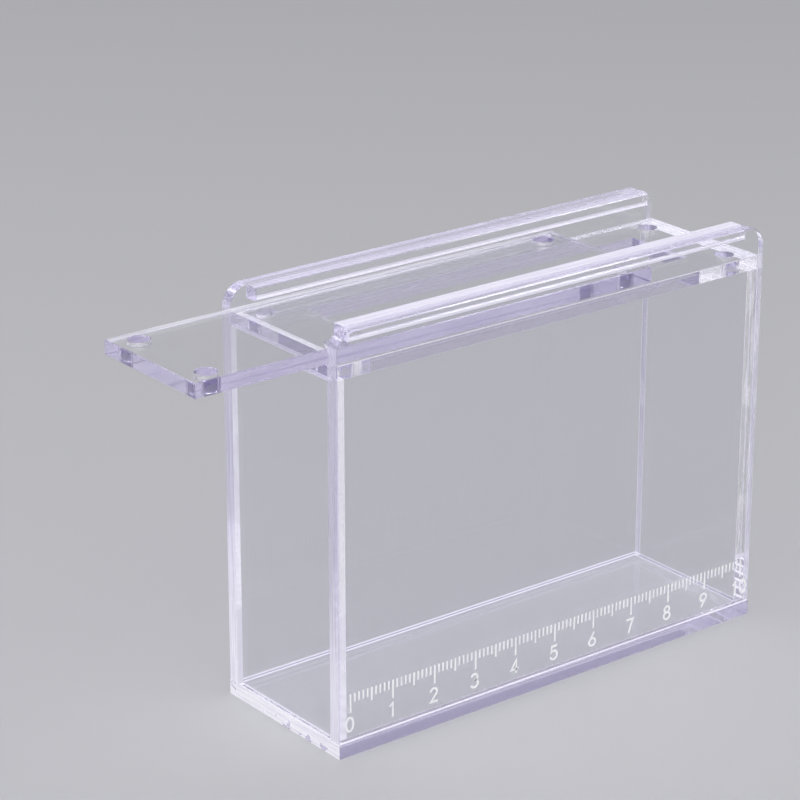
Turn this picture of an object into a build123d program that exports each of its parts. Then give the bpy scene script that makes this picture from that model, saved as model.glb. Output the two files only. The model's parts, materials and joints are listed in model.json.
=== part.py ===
from build123d import *
import os

os.makedirs("parts", exist_ok=True)

# A narrow clear tank for looking at one small fish, glued up from flat sheet,
# with a loose lid that slides between a holed frame and two guide strips at the rim.
# Origin: centre of the base's underside. X runs along the tank, Z is up, and the
# measuring side faces -Y. All sizes are in millimetres.

# Tank, outside
tank_length = 105.2
tank_depth = 35.5
tank_height = 84.0
rim_corner_radius = 4.2

# Sheet thickness of each piece, and the small bevel on the free edges round the rim
base_sheet = 3.0
wall_sheet = 2.8
frame_sheet = 2.8
lid_sheet = 3.0
eased_edge = 0.2

# Guide strips along the inside of the rim
strip_height = 2.6
strip_sheet = 3.0
strip_end_setback = 3.7

# Mouth cut through the top frame, and the round vents at the corners
mouth_end_margin = 12.0
mouth_side_margin = 7.6
vent_diameter = 4.0
vent_end_margin = 5.0
vent_side_margin = 4.4

# Running gaps of the loose lid, and how far it stands slid out to the left
gap_under_lid = 0.1
gap_over_lid = 0.9
gap_in_front_of_lid = 0.2
gap_behind_lid = 0.9
lid_pull = 28.2

# Space between the long panels
inner_depth = tank_depth - 2 * wall_sheet

# Levels, from the rim down
strip_bottom = tank_height - strip_height
lid_bottom = strip_bottom - gap_over_lid - lid_sheet
frame_top = lid_bottom - gap_under_lid
frame_bottom = frame_top - frame_sheet

# Vents stand on one pattern in the frame and in the lid, so they line up when it is shut
vent_pitch_x = tank_length - 2 * vent_end_margin
vent_pitch_y = inner_depth - 2 * vent_side_margin

# Base: the whole tank stands on it
with BuildPart() as base_plate:
    with BuildSketch():
        Rectangle(tank_length, tank_depth)
    extrude(amount=base_sheet)
base_plate.part.label = "base_plate"
export_step(base_plate.part, "parts/base_plate.step")

# Long panels: they stand on the base and carry the rim, with rounded upper corners
panel_height = tank_height - base_sheet
for name, panel_back in (("front_panel", inner_depth / 2), ("rear_panel", -tank_depth / 2)):
    with BuildPart() as panel:
        with BuildSketch(Plane.XZ.offset(panel_back)) as outline:
            with Locations((0, base_sheet + panel_height / 2)):
                Rectangle(tank_length, panel_height)
            fillet(outline.vertices().group_by(Axis.Y)[-1], rim_corner_radius)
        extrude(amount=wall_sheet)
        outer_face = panel.faces().filter_by(Axis.Y).sort_by(Axis.Y)[0 if panel_back > 0 else -1]
        chamfer(outer_face.edges().sort_by(Axis.Z)[1:], length=eased_edge)
    panel.part.label = name
    export_step(panel.part, f"parts/{name}.step")

# End walls: between the panels, from the base up to the frame that rests on them
end_wall_x = (tank_length - wall_sheet) / 2
for name, side in (("left_end_wall", -1), ("right_end_wall", 1)):
    with BuildPart() as end_wall:
        with BuildSketch(Plane.XY.offset(base_sheet)):
            with Locations((side * end_wall_x, 0)):
                Rectangle(wall_sheet, inner_depth)
        extrude(amount=frame_bottom - base_sheet)
    end_wall.part.label = name
    export_step(end_wall.part, f"parts/{name}.step")

# Top frame: a fixed plate between the panels, with the mouth and a vent at each corner
mouth_length = tank_length - 2 * mouth_end_margin
mouth_depth = inner_depth - 2 * mouth_side_margin
with BuildPart() as top_frame:
    with BuildSketch(Plane.XY.offset(frame_bottom)):
        Rectangle(tank_length, inner_depth)
        Rectangle(mouth_length, mouth_depth, mode=Mode.SUBTRACT)
    extrude(amount=frame_sheet)
    with Locations(Plane.XY.offset(frame_top)):
        with GridLocations(vent_pitch_x, vent_pitch_y, 2, 2):
            Hole(vent_diameter / 2)
top_frame.part.label = "top_frame"
export_step(top_frame.part, "parts/top_frame.step")

# Guide strips: glued inside the rim, flush with it, to hold the lid down
strip_length = tank_length - 2 * strip_end_setback
strip_y = (inner_depth - strip_sheet) / 2
for name, side in (("front_guide_strip", -1), ("rear_guide_strip", 1)):
    with BuildPart() as strip:
        with BuildSketch(Plane.XY.offset(strip_bottom)):
            with Locations((0, side * strip_y)):
                Rectangle(strip_length, strip_sheet)
        extrude(amount=strip_height)
        free_face = strip.faces().sort_by(Axis.Y)[0 if side > 0 else -1]
        chamfer(free_face.edges(), length=eased_edge)
    strip.part.label = name
    export_step(strip.part, f"parts/{name}.step")

# Sliding lid: as long as the tank, with vents that match the frame's. It lies a little
# nearer to the front panel, as a loose lid does.
lid_depth = inner_depth - gap_in_front_of_lid - gap_behind_lid
lid_y = (gap_in_front_of_lid - gap_behind_lid) / 2
with BuildPart() as sliding_lid:
    with BuildSketch(Plane.XY.offset(lid_bottom)):
        with Locations((-lid_pull, lid_y)):
            Rectangle(tank_length, lid_depth)
    extrude(amount=lid_sheet)
    chamfer(sliding_lid.edges(), length=eased_edge)
    with Locations((-lid_pull, lid_y, lid_bottom + lid_sheet)):
        with GridLocations(vent_pitch_x, vent_pitch_y, 2, 2):
            Hole(vent_diameter / 2)
    chamfer(sliding_lid.edges().filter_by(GeomType.CIRCLE), length=eased_edge)
sliding_lid.part.label = "sliding_lid"
export_step(sliding_lid.part, "parts/sliding_lid.step")
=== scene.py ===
import itertools
import json
import math
from collections import namedtuple

import bmesh
import bpy
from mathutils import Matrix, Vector


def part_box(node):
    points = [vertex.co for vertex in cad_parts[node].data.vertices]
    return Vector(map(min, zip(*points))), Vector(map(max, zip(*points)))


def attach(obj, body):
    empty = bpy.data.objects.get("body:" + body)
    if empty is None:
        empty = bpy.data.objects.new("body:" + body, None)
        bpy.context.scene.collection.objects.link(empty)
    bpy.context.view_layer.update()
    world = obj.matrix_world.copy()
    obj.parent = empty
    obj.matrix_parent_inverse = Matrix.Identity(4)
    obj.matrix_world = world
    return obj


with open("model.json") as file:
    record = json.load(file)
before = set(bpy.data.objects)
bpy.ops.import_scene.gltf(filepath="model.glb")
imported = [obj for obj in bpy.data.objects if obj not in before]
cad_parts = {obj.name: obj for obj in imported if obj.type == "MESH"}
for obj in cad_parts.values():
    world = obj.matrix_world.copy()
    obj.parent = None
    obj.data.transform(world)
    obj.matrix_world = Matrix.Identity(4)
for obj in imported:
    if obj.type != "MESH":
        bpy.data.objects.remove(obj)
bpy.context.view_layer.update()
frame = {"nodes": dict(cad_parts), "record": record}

scene = bpy.context.scene
MM = 0.001

# Light goes round many times inside the sheets before it leaves them
BOUNCES = 72

# Colours, linear
SHEET_TINT = (0.965, 0.965, 0.988, 1)
CUT_TINT = (0.56, 0.52, 0.73, 1)
# The lid's cut faces take a darker tint than the other sheets': painted shade that tones down the lid's
# bright front edge band
LID_CUT_SHADED_TINT = (0.36, 0.32, 0.52, 1)
# White of the satin cut faces and the welds, also the colour of their painted highlights
FROST_AND_HIGHLIGHT_WHITE = (0.93, 0.92, 0.97, 1)
SHADOW_TINT = (0.97, 0.97, 0.975, 1)
INK_WHITE = (0.93, 0.93, 0.94, 1)
INK_WORN = (0.86, 0.86, 0.89, 1)
FLOOR_PALE = (0.42, 0.42, 0.44, 1)

# Noise patterns: scale in features per metre, detail, and the noise levels between which each fades in
PATTERNS = {
    "clear_patches": (330.0, 4.0, 0.60, 0.63),
    "saw_lines": (2200.0, 3.0, 0.35, 0.60),
    "saw_grain": (900.0, 2.0, 0.30, 0.70),
    "smears": (55.0, 4.0, 0.52, 0.80),
    "weld_rim_and_glint": (70.0, 3.0, 0.35, 0.60),
    "mist": (200.0, 3.0, 0.35, 0.65),
    "bubbles": (800.0, 4.0, 0.50, 0.62),
    "ink_wear": (700.0, 3.0, 0.35, 0.65),
    "ink_sheen": (700.0, 3.0, 0.30, 0.70),
}

# Scale of the saw marks along a cut edge, and of the bubbles on each axis: less than 1 draws them out
LINES_STRETCH = 0.03
GRAIN_STRETCH = 0.05
BUBBLES_STRETCH = (1, 1, 0.12)

# Finishes; a face is cut, not wide, where its normal's cosine with the wide faces' axis is below CUT_COSINE
ACRYLIC_IOR = 1.49
CUT_COSINE = 0.8
CUT_ROUGHNESS = (0.04, 0.12)
SMEAR_ROUGHNESS = 0.03
INK_ROUGHNESS = (0.45, 0.65)

# Satin white of each sheet's outer cut faces, and of every other cut face; the outer faces' amounts are
# partly painted highlight, set whiter where bright streaks show: the strips' undersides, the lid's rear edge
# and the base's left end
CUT_FROST_AND_HIGHLIGHT = {
    "base_plate": {"-X": 0.96, "+X": 0.45, "-Y": 0.10, "+Y": 0.15},
    "front_panel": {"-X": 0.30, "+X": 0.22, "+Z": 0.22},
    "rear_panel": {"-X": 0.34, "+X": 0.22, "+Z": 0.28},
    "front_guide_strip": {"-Z": 0.95, "+Z": 0.62},
    "rear_guide_strip": {"-Z": 0.90, "+Z": 0.30},
    "sliding_lid": {"-X": 0.16, "+X": 0.16, "-Y": 0.05, "+Y": 0.92},
}
INNER_FROST = 0.05
FACE_REACH = 0.25 * MM

# Shares that the saw lines and the base's clear patches take off the frost, and how many times over
# the foot of a panel's end has it, fading between two heights; that whiter foot is painted light
SAW_LINES = 0.18
CLEAR_PATCHES = 0.65
FOOT_PAINTED_LIGHT = 2.4
FOOT_HEIGHTS = (10 * MM, 48 * MM)

# Solvent welds: the white rim at the low and at the high sides in mm, partly a painted highlight along the
# welded edges, and shares of mist and bubbles
Weld = namedtuple("Weld", "rim_low rim_high mist bubbles")
WELDS = {
    ("base_plate", "front_panel"): Weld(1.05, 0.15, 0.0, 0.02),
    ("base_plate", "rear_panel"): Weld(1.05, 1.05, 0.0, 0.02),
    ("base_plate", "left_end_wall"): Weld(0.8, 0.8, 0.0, 0.02),
    ("base_plate", "right_end_wall"): Weld(0.45, 0.45, 0.0, 0.02),
    ("front_panel", "left_end_wall"): Weld(0.0, 0.0, 0.09, 0.0),
    ("rear_panel", "left_end_wall"): Weld(0.0, 0.0, 0.42, 0.0),
    ("front_panel", "right_end_wall"): Weld(0.17, 0.17, 0.0, 0.16),
    ("rear_panel", "right_end_wall"): Weld(0.17, 0.17, 0.0, 0.10),
    ("front_panel", "top_frame"): Weld(0.02, 0.22, 0.06, 0.0),
    ("rear_panel", "top_frame"): Weld(0.02, 0.22, 0.2, 0.0),
    ("left_end_wall", "top_frame"): Weld(0.3, 0.3, 0.4, 0.0),
    ("right_end_wall", "top_frame"): Weld(0.3, 0.3, 0.4, 0.0),
    ("front_panel", "front_guide_strip"): Weld(0.4, 0.1, 0.0, 0.02),
    ("rear_panel", "rear_guide_strip"): Weld(0.4, 0.1, 0.0, 0.02),
}
WELD_REACH = 0.01 * MM
# Strength of the white band along the weld edges, partly a painted highlight
WELD_RIM_AND_GLINT = (0.9, 1.0)

# Mist is uneven, and so many times whiter at the foot, fading between two heights; that whiter foot is
# painted light
MIST_MOTTLE = (0.85, 1.0)
MIST_MOST = 0.9
MIST_FOOT_AND_LIGHT = 7.0
MIST_HEIGHTS = (10 * MM, 22 * MM)

# Ruler on the front face in mm: from its zero, and up from the floor to the line its ticks hang on
RULER_ZERO = -50.0
RULER_TOP = 12.85
TICK_STEPS = 100
TICK_STEP = 1.0
TICK_LENGTHS = {1: 1.8, 5: 2.7, 10: 3.85}
TICK_WIDTH = 0.38
FIGURE_HEIGHT = 2.8
FIGURE_WIDTH = 1.65
FIGURE_GAP = 0.95
FIGURE_SPACING = 0.55
FIGURE_SHIFT = -0.2
INK_WIDTH = 0.45
INK_DEPTH = 0.03
INK_STANDOFF = 0.004

# Pen strokes: how far one runs past its end points, in widths, the least cosine of a mitre, and what
# counts as no distance
PEN_TIP = 0.3
MITRE_COSINE = 0.55
SAME_PLACE = 1e-6
NO_LENGTH = 1e-9

# Floor in metres, and its gap under the box
FLOOR_REACH = 4.0
FLOOR_SQUARES = 8
FLOOR_ROUGHNESS = 0.6
FLOOR_GAP = 0.05 * MM

# The surround's tone by how near its direction is to the key's
KEY_DIRECTION = (-0.58, -0.58, 0.57)
SKY_STRENGTH = 1.25
SKY_TONES = [
    (0.15, (0.355, 0.355, 0.37, 1)),
    (0.60, (0.64, 0.64, 0.655, 1)),
    (1.0, (1.0, 1.0, 1.0, 1)),
]

# Lamps: direction from the point they face, distance, width and height in metres, and radiance
LAMP_AIM = (0, 0, 0.045)
LAMPS = {
    "softbox_left": ((-0.62, -0.08, 0.78), 0.9, 0.8, 0.35, 2.4),
    "softbox_front": ((-0.12, -0.64, 0.76), 0.9, 0.8, 0.35, 2.1),
    "strip_right": ((0.575, -0.355, 0.737), 0.9, 0.5, 0.08, 9.0),
    "strip_rear": ((-0.355, 0.737, 0.575), 0.9, 0.5, 0.08, 6.0),
}

# The photograph's viewpoint in the part's frame, in mm, and what the camera sees between, in metres
CAMERA_PLACE = (-347.1, -413.2, 259.2)
CAMERA_LOOK = (0.5752, 0.7367, -0.3554)
CAMERA_LENS = 133.6
CAMERA_SENSOR = 36.0
CAMERA_CLIP = (0.01, 20.0)


class Shading:
    """The node tree of a material or a world, emptied, with a short method for each node used here."""

    def __init__(self, owner):
        owner.use_nodes = True
        self.tree = owner.node_tree
        self.tree.nodes.clear()

    def add(self, kind, **settings):
        """A new node with these settings."""
        node = self.tree.nodes.new(kind)
        for key, value in settings.items():
            setattr(node, key, value)
        return node

    def feed(self, socket, source):
        """Links a socket to a source socket, or sets it to a plain value."""
        if isinstance(source, bpy.types.NodeSocket):
            self.tree.links.new(source, socket)
        else:
            socket.default_value = source

    def maths(self, operation, *sources):
        """A Math node's result."""
        node = self.add("ShaderNodeMath", operation=operation)
        for socket, source in zip(node.inputs, sources):
            self.feed(socket, source)
        return node.outputs[0]

    def times(self, first, *others):
        """The product of several values."""
        product = first
        for other in others:
            product = self.maths("MULTIPLY", product, other)
        return product

    def largest(self, first, *others):
        """The largest of several values."""
        largest = first
        for other in others:
            largest = self.maths("MAXIMUM", largest, other)
        return largest

    def vector(self, operation, *sources):
        """A Vector Math node's result."""
        node = self.add("ShaderNodeVectorMath", operation=operation)
        for socket, source in zip(node.inputs, sources):
            self.feed(socket, source)
        return node.outputs["Value" if operation == "DOT_PRODUCT" else "Vector"]

    def split(self, vector):
        """A vector's X, Y and Z."""
        node = self.add("ShaderNodeSeparateXYZ")
        self.feed(node.inputs[0], vector)
        return list(node.outputs)

    def ramp(self, source, low, high, out_low, out_high):
        """A value mapped from low..high to out_low..out_high, smoothly and clamped."""
        node = self.add("ShaderNodeMapRange", interpolation_type="SMOOTHSTEP")
        self.feed(node.inputs["Value"], source)
        node.inputs["From Min"].default_value = low
        node.inputs["From Max"].default_value = high
        node.inputs["To Min"].default_value = out_low
        node.inputs["To Max"].default_value = out_high
        return node.outputs["Result"]

    def pattern(self, place, name, out_low=0.0, out_high=1.0, stretch=(1, 1, 1)):
        """One of PATTERNS at a place, as a value from out_low to out_high; stretch scales each axis."""
        scale, detail, low, high = PATTERNS[name]
        mapping = self.add("ShaderNodeMapping")
        self.feed(mapping.inputs["Vector"], place)
        mapping.inputs["Scale"].default_value = stretch
        noise = self.add("ShaderNodeTexNoise")
        self.feed(noise.inputs["Vector"], mapping.outputs[0])
        noise.inputs["Scale"].default_value = scale
        noise.inputs["Detail"].default_value = detail
        return self.ramp(noise.outputs["Fac"], low, high, out_low, out_high)

    def blend(self, factor, first, second):
        """A colour from first to second."""
        node = self.add("ShaderNodeMix", data_type="RGBA")
        for name, source in (("Factor", factor), ("A", first), ("B", second)):
            self.feed(node.inputs[name], source)
        return node.outputs["Result"]

    def end(self, kind, surface):
        """The tree's output node, showing this shader."""
        self.feed(self.add(kind).inputs["Surface"], surface)


def contact(a, b):
    """The thin box in which two touching sheets meet, or None where they don't touch."""
    (low_a, high_a), (low_b, high_b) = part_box(a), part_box(b)
    low = Vector(max(p, q) - WELD_REACH for p, q in zip(low_a, low_b))
    high = Vector(min(p, q) + WELD_REACH for p, q in zip(high_a, high_b))
    return (low, high) if all(h > l for l, h in zip(low, high)) else None


def weld_zones(bodies):
    """For each node, the box and the Weld of each place where it is welded to a neighbour."""
    zones = {}
    for members in bodies.values():
        for pair in itertools.combinations(members, 2):
            box = contact(*pair)
            if box:
                for name in pair:
                    zones.setdefault(name, []).append((*box, WELDS[pair]))
    return zones


def heart_of(low, high, weld):
    """A weld's box less its rim."""
    size = high - low
    thin = min(range(3), key=lambda i: size[i])
    trim_low = Vector(0 if i == thin else weld.rim_low * MM for i in range(3))
    trim_high = Vector(0 if i == thin else weld.rim_high * MM for i in range(3))
    return low + trim_low, high - trim_high


def inside_box(shading, place, low, high):
    """1 where a point lies in the box from low to high, else 0."""
    middle = shading.vector("SUBTRACT", place, (low + high) / 2)
    spread = shading.vector("ABSOLUTE", middle)
    past = shading.vector("SUBTRACT", spread, (high - low) / 2)
    return shading.maths("LESS_THAN", shading.largest(*shading.split(past)), 0.0)


def stretched(wide, amount):
    """The scale of each axis for marks that run along a sheet's cut edges: 1 through the sheet only."""
    return tuple(1.0 if i == wide else amount for i in range(3))


def cut_frost(shading, place, normal, name, wide):
    """The satin white of a sheet's cut faces, partly painted highlight: saw lines, clear patches on the
    base, and feet made whiter as painted light.
    """
    low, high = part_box(name)
    along = shading.split(place)
    frost_and_painted_light = INNER_FROST
    for (sign, letter), amount in CUT_FROST_AND_HIGHLIGHT.get(name, {}).items():
        i = "XYZ".index(letter)
        if sign == "+":
            here = shading.maths("GREATER_THAN", along[i], high[i] - FACE_REACH)
        else:
            here = shading.maths("LESS_THAN", along[i], low[i] + FACE_REACH)
        share = shading.times(here, shading.times(normal[i], normal[i]), amount)
        if letter == "X" and name == "base_plate":
            share = shading.times(share, shading.pattern(place, "clear_patches", 1.0, 1.0 - CLEAR_PATCHES))
        # Painted light: the foot of a panel's end is made whiter, as if lit more from low down
        if letter == "X" and name.endswith("_panel"):
            share = shading.times(share, shading.ramp(along[2], *FOOT_HEIGHTS, FOOT_PAINTED_LIGHT, 1.0))
        frost_and_painted_light = shading.maths("ADD", share, frost_and_painted_light)
    lines = shading.pattern(place, "saw_lines", 1.0 - SAW_LINES, 1.0, stretched(wide, LINES_STRETCH))
    return shading.times(lines, frost_and_painted_light)


def weld_look(shading, place, zones):
    """1 where a sheet is welded, and how much of the weld's white shows there; the white band along its
    edges is partly a painted highlight.
    """
    welded = heart = misted = bubbly = 0.0
    for low, high, weld in zones:
        core = inside_box(shading, place, low, high)
        inner = inside_box(shading, place, *heart_of(low, high, weld)) if weld.rim_low else core
        welded = shading.largest(welded, core)
        heart = shading.largest(heart, inner)
        misted = shading.largest(misted, shading.times(core, weld.mist))
        bubbly = shading.largest(bubbly, shading.times(core, weld.bubbles))
    height = shading.split(place)[2]
    # Painted light: the mist is made whiter at the foot, as if lit more from low down
    foot = shading.ramp(height, *MIST_HEIGHTS, MIST_FOOT_AND_LIGHT, 1.0)
    mist = shading.times(misted, shading.pattern(place, "mist", *MIST_MOTTLE), foot)
    mist = shading.maths("MINIMUM", mist, MIST_MOST)
    bubbles = shading.times(shading.pattern(place, "bubbles", stretch=BUBBLES_STRETCH), bubbly)
    # White band along the weld's edges: partly a painted highlight, a glint along the welded edge
    rim_and_glint = shading.pattern(place, "weld_rim_and_glint", *WELD_RIM_AND_GLINT)
    rim_and_glint = shading.times(rim_and_glint, shading.maths("SUBTRACT", 1.0, heart))
    return welded, shading.largest(bubbles, rim_and_glint, mist)


def acrylic(name, wide, zones):
    """Clear sheet: polished wide faces, hazier cut ones, and solvent welds where it meets its neighbours."""
    material = bpy.data.materials.new("acrylic_" + name)
    shading = Shading(material)
    place = shading.add("ShaderNodeTexCoord").outputs["Object"]
    normal = shading.split(shading.add("ShaderNodeTexCoord").outputs["Normal"])
    is_cut = shading.maths("LESS_THAN", shading.maths("ABSOLUTE", normal[wide]), CUT_COSINE)

    # The cut faces' satin white, partly painted highlight where outer cut faces are made whiter
    haze_and_painted_light = shading.times(cut_frost(shading, place, normal, name, wide), is_cut)
    # The lid's cut faces are tinted darker as painted shade
    colour = shading.blend(is_cut, SHEET_TINT, LID_CUT_SHADED_TINT if name == "sliding_lid" else CUT_TINT)
    colour = shading.blend(haze_and_painted_light, colour, FROST_AND_HIGHLIGHT_WHITE)
    grain = shading.pattern(place, "saw_grain", *CUT_ROUGHNESS, stretched(wide, GRAIN_STRETCH))
    smears = shading.pattern(place, "smears", 0.0, SMEAR_ROUGHNESS)

    shader = shading.add("ShaderNodeBsdfPrincipled")
    shader.inputs["IOR"].default_value = ACRYLIC_IOR
    if zones:
        # Where two sheets are welded their faces vanish, but for the weld's white, which along the weld's
        # edges is partly a painted highlight
        welded, shown = weld_look(shading, place, zones)
        unwelded = shading.maths("SUBTRACT", 1.0, welded)
        haze_and_painted_light = shading.largest(haze_and_painted_light, welded)
        colour = shading.blend(welded, colour, FROST_AND_HIGHLIGHT_WHITE)
        shading.feed(shader.inputs["Alpha"], shading.largest(unwelded, shown))
    shading.feed(shader.inputs["Transmission Weight"], shading.maths("SUBTRACT", 1.0, haze_and_painted_light))
    shading.feed(shader.inputs["Base Color"], colour)
    shading.feed(shader.inputs["Roughness"], shading.largest(shading.times(grain, is_cut), smears))

    # Lamps shine through the sheets, so that they cast a pale shadow
    shadow = shading.add("ShaderNodeBsdfTransparent")
    shadow.inputs["Color"].default_value = SHADOW_TINT
    to_lamp = shading.add("ShaderNodeLightPath").outputs["Is Shadow Ray"]
    surface = shading.add("ShaderNodeMixShader")
    for socket, source in zip(surface.inputs, (to_lamp, shader.outputs[0], shadow.outputs[0])):
        shading.feed(socket, source)
    shading.end("ShaderNodeOutputMaterial", surface.outputs[0])
    return material


def ink():
    """Matt white marking with a little unevenness."""
    material = bpy.data.materials.new("white_marking")
    shading = Shading(material)
    place = shading.add("ShaderNodeTexCoord").outputs["Object"]
    shader = shading.add("ShaderNodeBsdfPrincipled")
    colour = shading.blend(shading.pattern(place, "ink_wear"), INK_WORN, INK_WHITE)
    shading.feed(shader.inputs["Base Color"], colour)
    shading.feed(shader.inputs["Roughness"], shading.pattern(place, "ink_sheen", *INK_ROUGHNESS))
    shading.end("ShaderNodeOutputMaterial", shader.outputs[0])
    return material


def floor_finish():
    """The floor's plain pale material."""
    material = bpy.data.materials.new("floor_pale")
    shading = Shading(material)
    shader = shading.add("ShaderNodeBsdfPrincipled")
    shader.inputs["Base Color"].default_value = FLOOR_PALE
    shader.inputs["Roughness"].default_value = FLOOR_ROUGHNESS
    shading.end("ShaderNodeOutputMaterial", shader.outputs[0])
    return material


def dress_sheets():
    """Gives every CAD sheet its acrylic, by the axis across its wide faces."""
    wide_axes = {
        "base_plate": "Z", "top_frame": "Z", "sliding_lid": "Z",
        "front_panel": "Y", "rear_panel": "Y", "front_guide_strip": "Y", "rear_guide_strip": "Y",
        "left_end_wall": "X", "right_end_wall": "X",
    }
    zones = weld_zones(frame["record"]["behaviour"]["bodies"])
    for name, node in frame["nodes"].items():
        node.data.materials.clear()
        node.data.materials.append(acrylic(name, "XYZ".index(wide_axes[name]), zones.get(name)))


def arc(x, y, rx, ry, start, end, steps=14):
    """Points on an ellipse round (x, y), from start to end degrees."""
    angles = [math.radians(start + (end - start) * i / steps) for i in range(steps + 1)]
    return [(x + rx * math.cos(a), y + ry * math.sin(a)) for a in angles]


def figure_strokes():
    """Each figure's pen strokes in a box 1 wide and 1 high; a stroke that ends where it starts is a ring."""
    return {
        "0": [arc(0.5, 0.5, 0.5, 0.5, 90, 450, 36)],
        "1": [[(0.20, 0.80), (0.58, 1.0), (0.58, 0.0)]],
        "2": [arc(0.5, 0.72, 0.48, 0.28, 165, -28) + [(0.02, 0.0), (1.0, 0.0)]],
        "3": [arc(0.46, 0.755, 0.46, 0.245, 155, -80) + arc(0.48, 0.265, 0.52, 0.265, 80, -160)],
        "4": [[(0.76, 0.0), (0.76, 1.0), (0.0, 0.28), (1.05, 0.28)]],
        "5": [[(0.94, 1.0), (0.16, 1.0), (0.08, 0.56)] + arc(0.47, 0.33, 0.53, 0.33, 125, -155)],
        "6": [arc(0.5, 0.28, 0.5, 0.28, 90, 450, 32), [(0.74, 1.0), (0.05, 0.37)]],
        "7": [[(0.0, 1.0), (1.0, 1.0), (0.62, 0.5), (0.36, 0.0)]],
        "8": [arc(0.5, 0.77, 0.41, 0.23, 90, 450, 30), arc(0.5, 0.27, 0.5, 0.27, 90, 450, 30)],
        "9": [arc(0.5, 0.72, 0.5, 0.28, 90, 450, 32), [(0.26, 0.0), (0.95, 0.63)]],
    }


def rails_of(line, closed, width):
    """The two sides of a pen stroke of this width along a line of points, as pairs."""
    last = len(line) - 1
    rails = []
    for i, point in enumerate(line):
        before = line[i - 1] if closed or i > 0 else point
        after = line[(i + 1) % len(line)] if closed or i < last else point
        into, out = (point - before), (after - point)
        into = (into if into.length > NO_LENGTH else out).normalized()
        out = (out if out.length > NO_LENGTH else into).normalized()
        along = into + out
        along = along.normalized() if along.length > SAME_PLACE else into
        across = Vector((-along.y, along.x))
        reach = width / 2 / max(MITRE_COSINE, across.dot(Vector((-into.y, into.x))))
        tip = Vector((0, 0))
        if not closed and i in (0, last):
            tip = along * (-width * PEN_TIP if i == 0 else width * PEN_TIP)
        rails.append((point + tip + across * reach, point + tip - across * reach))
    return rails


def ribbon(mesh, points, width, front):
    """A flat closed ribbon along points (x, z) on a face that looks to -Y; it stands out from front."""
    closed = (Vector(points[0]) - Vector(points[-1])).length < SAME_PLACE
    line = [Vector(point) for point in (points[:-1] if closed else points)]
    rings = []
    for left, right in rails_of(line, closed, width):
        corners = [(left, 0), (right, 0), (right, INK_DEPTH), (left, INK_DEPTH)]
        rings.append([mesh.verts.new((p.x * MM, front - depth * MM, p.y * MM)) for p, depth in corners])
    spans = list(zip(rings, rings[1:])) + ([(rings[-1], rings[0])] if closed else [])
    for a, b in spans:
        for i in range(4):
            mesh.faces.new((a[i], a[(i + 1) % 4], b[(i + 1) % 4], b[i]))
    if not closed:
        mesh.faces.new(reversed(rings[0]))
        mesh.faces.new(rings[-1])


def object_of(name, mesh, material):
    """Makes an object of a bmesh, which is used up."""
    data = bpy.data.meshes.new(name)
    mesh.to_mesh(data)
    mesh.free()
    data.materials.append(material)
    piece = bpy.data.objects.new(name, data)
    scene.collection.objects.link(piece)
    return piece


def mark(name, mesh, material):
    """A marking that rides on the tank."""
    bmesh.ops.recalc_face_normals(mesh, faces=mesh.faces)
    piece = object_of(name, mesh, material)
    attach(piece, "tank")


def ruler_ticks(material, front):
    """A tick at each millimetre, longer at the fives and the tens."""
    ticks = bmesh.new()
    trim = TICK_WIDTH * PEN_TIP
    for count in range(TICK_STEPS + 1):
        length = TICK_LENGTHS[10 if count % 10 == 0 else 5 if count % 5 == 0 else 1]
        x = RULER_ZERO + count * TICK_STEP
        ribbon(ticks, [(x, RULER_TOP - trim), (x, RULER_TOP - length + trim)], TICK_WIDTH, front)
    mark("ruler_ticks", ticks, material)


def ruler_figures(material, front):
    """The centimetres' figures under the long ticks; crossing strokes lie in layers."""
    strokes = figure_strokes()
    figures = bmesh.new()
    bottom = RULER_TOP - TICK_LENGTHS[10] - FIGURE_GAP - FIGURE_HEIGHT
    for centimetre in range(TICK_STEPS // 10 + 1):
        text = str(centimetre)
        whole = len(text) * FIGURE_WIDTH + (len(text) - 1) * FIGURE_SPACING
        x = RULER_ZERO + centimetre * 10 * TICK_STEP - whole / 2 + FIGURE_SHIFT
        for digit in text:
            for layer, stroke in enumerate(strokes[digit]):
                points = [(x + u * FIGURE_WIDTH, bottom + v * FIGURE_HEIGHT) for u, v in stroke]
                ribbon(figures, points, INK_WIDTH, front - layer * INK_STANDOFF * MM)
            x += FIGURE_WIDTH + FIGURE_SPACING
    mark("ruler_figures", figures, material)


def ruler():
    """The white ruler, a hair proud of the front panel's outer face."""
    material = ink()
    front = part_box("front_panel")[0].y - INK_STANDOFF * MM
    ruler_ticks(material, front)
    ruler_figures(material, front)


def stage():
    """A wide plain floor, a hair below the box."""
    floor = bmesh.new()
    bmesh.ops.create_grid(floor, x_segments=FLOOR_SQUARES, y_segments=FLOOR_SQUARES, size=FLOOR_REACH)
    bmesh.ops.translate(floor, verts=floor.verts, vec=(0, 0, -FLOOR_GAP))
    object_of("floor", floor, floor_finish())


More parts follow.
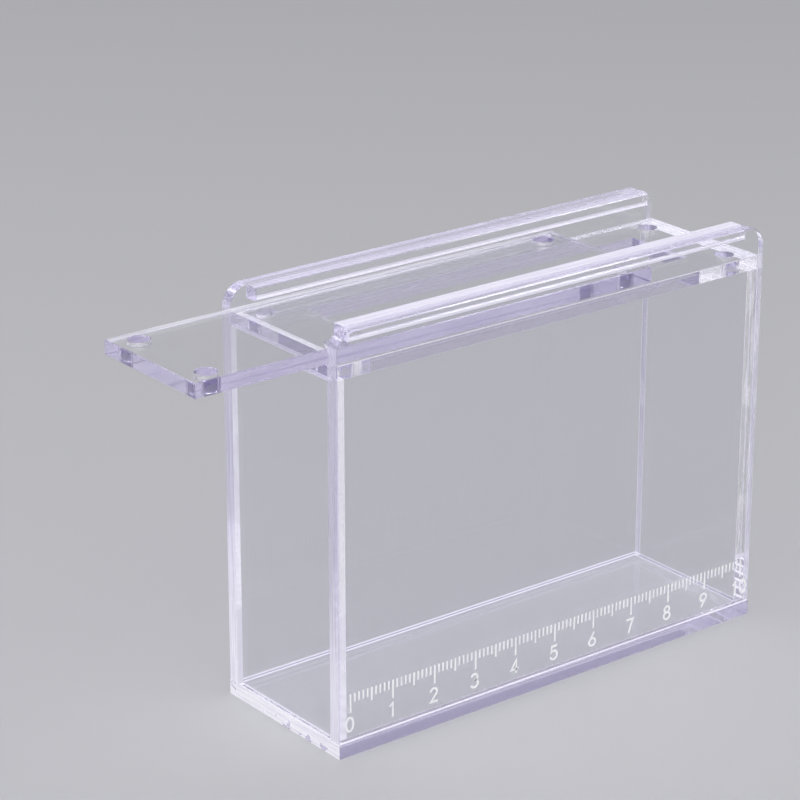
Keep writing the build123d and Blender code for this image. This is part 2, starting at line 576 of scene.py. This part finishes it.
def lamp(name, toward, distance, width, height, radiance):
    """A soft area lamp in a direction from LAMP_AIM, which it faces; its width runs level."""
    away = Vector(toward).normalized()
    data = bpy.data.lights.new(name, "AREA")
    data.shape = "RECTANGLE"
    data.size, data.size_y = width, height
    data.energy = radiance * math.pi * width * height
    piece = bpy.data.objects.new(name, data)
    piece.location = Vector(LAMP_AIM) + away * distance
    piece.rotation_euler = (-away).to_track_quat("-Z", "Y").to_euler()
    scene.collection.objects.link(piece)


def surround():
    """A pale world, about as light as the floor, that grows softly lighter towards the key direction."""
    world = bpy.data.worlds.new("surround")
    scene.world = world
    shading = Shading(world)
    direction = shading.add("ShaderNodeTexCoord").outputs["Generated"]
    tones = shading.add("ShaderNodeValToRGB")
    shading.feed(tones.inputs[0], shading.vector("DOT_PRODUCT", direction, KEY_DIRECTION))
    tones.color_ramp.interpolation = "EASE"
    stops = tones.color_ramp.elements
    stops[0].position, stops[0].color = SKY_TONES[0]
    stops[1].position, stops[1].color = SKY_TONES[-1]
    for position, colour in SKY_TONES[1:-1]:
        stops.new(position).color = colour
    background = shading.add("ShaderNodeBackground")
    background.inputs["Strength"].default_value = SKY_STRENGTH
    shading.feed(background.inputs["Color"], tones.outputs[0])
    shading.end("ShaderNodeOutputWorld", background.outputs[0])


def camera():
    """The photograph's camera."""
    data = bpy.data.cameras.new("camera")
    data.lens = CAMERA_LENS
    data.sensor_width = CAMERA_SENSOR
    data.clip_start, data.clip_end = CAMERA_CLIP
    piece = bpy.data.objects.new("camera", data)
    piece.location = Vector(CAMERA_PLACE) * MM
    piece.rotation_euler = Vector(CAMERA_LOOK).to_track_quat("-Z", "Y").to_euler()
    scene.collection.objects.link(piece)
    scene.camera = piece


def render_settings():
    """Plain view, and enough bounces for light inside the sheets."""
    scene.view_settings.view_transform = "Standard"
    scene.cycles.max_bounces = BOUNCES
    scene.cycles.glossy_bounces = BOUNCES
    scene.cycles.transmission_bounces = BOUNCES
    scene.cycles.transparent_max_bounces = BOUNCES


dress_sheets()
ruler()
stage()
surround()
for lamp_name, lamp_settings in LAMPS.items():
    lamp(lamp_name, *lamp_settings)
camera()
render_settings()
